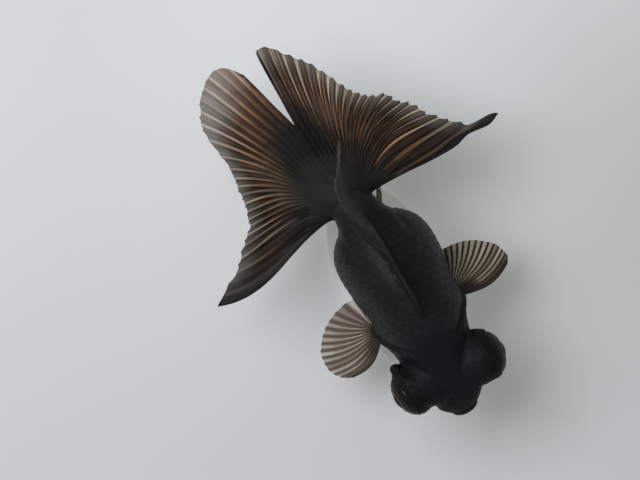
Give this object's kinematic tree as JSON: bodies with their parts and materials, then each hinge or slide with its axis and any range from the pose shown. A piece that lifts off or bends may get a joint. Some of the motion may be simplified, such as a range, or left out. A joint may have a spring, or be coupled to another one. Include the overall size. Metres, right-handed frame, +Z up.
{
  "type": "goldfish display model",
  "caption": "Still, life-size black telescope-eyed goldfish with a spread butterfly tail, held level in a swimming pose by short rods on a flat oval foot.",
  "frame": {"origin": "middle of the flat underside of the display foot, straight below the middle of the fish's body", "axes": "+Z up, the fish's head points along -Y and its tail along +Y, its own left side is at +X"},
  "size_m": [0.1157, 0.1435, 0.0902],
  "materials": {
    "skin": "wet blue-black fish skin with fine overlapping scales behind the gill covers and a smooth, slightly wrinkled head",
    "eye": "clear domed cornea over a thin golden-brown iris ring and a wide black pupil",
    "fin": "thin translucent brown membrane with dark bony rays, fading to a pale grey edge",
    "steel": "satin steel rod",
    "foot": "satin pale acrylic"
  },
  "bodies": {
    "root": {"head": "skin", "lower_jaw": "skin", "gill_cover_left": "skin", "gill_cover_right": "skin", "trunk": "skin", "tail_stem": "skin", "eye_socket_left": "skin", "eye_socket_right": "skin", "eye_left": "eye", "eye_right": "eye", "dorsal_fin": "fin", "tail_upper_left": "fin", "tail_lower_left": "fin", "tail_upper_right": "fin", "tail_lower_right": "fin", "pectoral_fin_left": "fin", "pectoral_fin_right": "fin", "pelvic_fin_left": "fin", "pelvic_fin_right": "fin", "anal_fin_left": "fin", "anal_fin_right": "fin", "stand_rod_front": "steel", "stand_rod_rear": "steel", "stand_foot": "foot"}
  },
  "joints": []
}
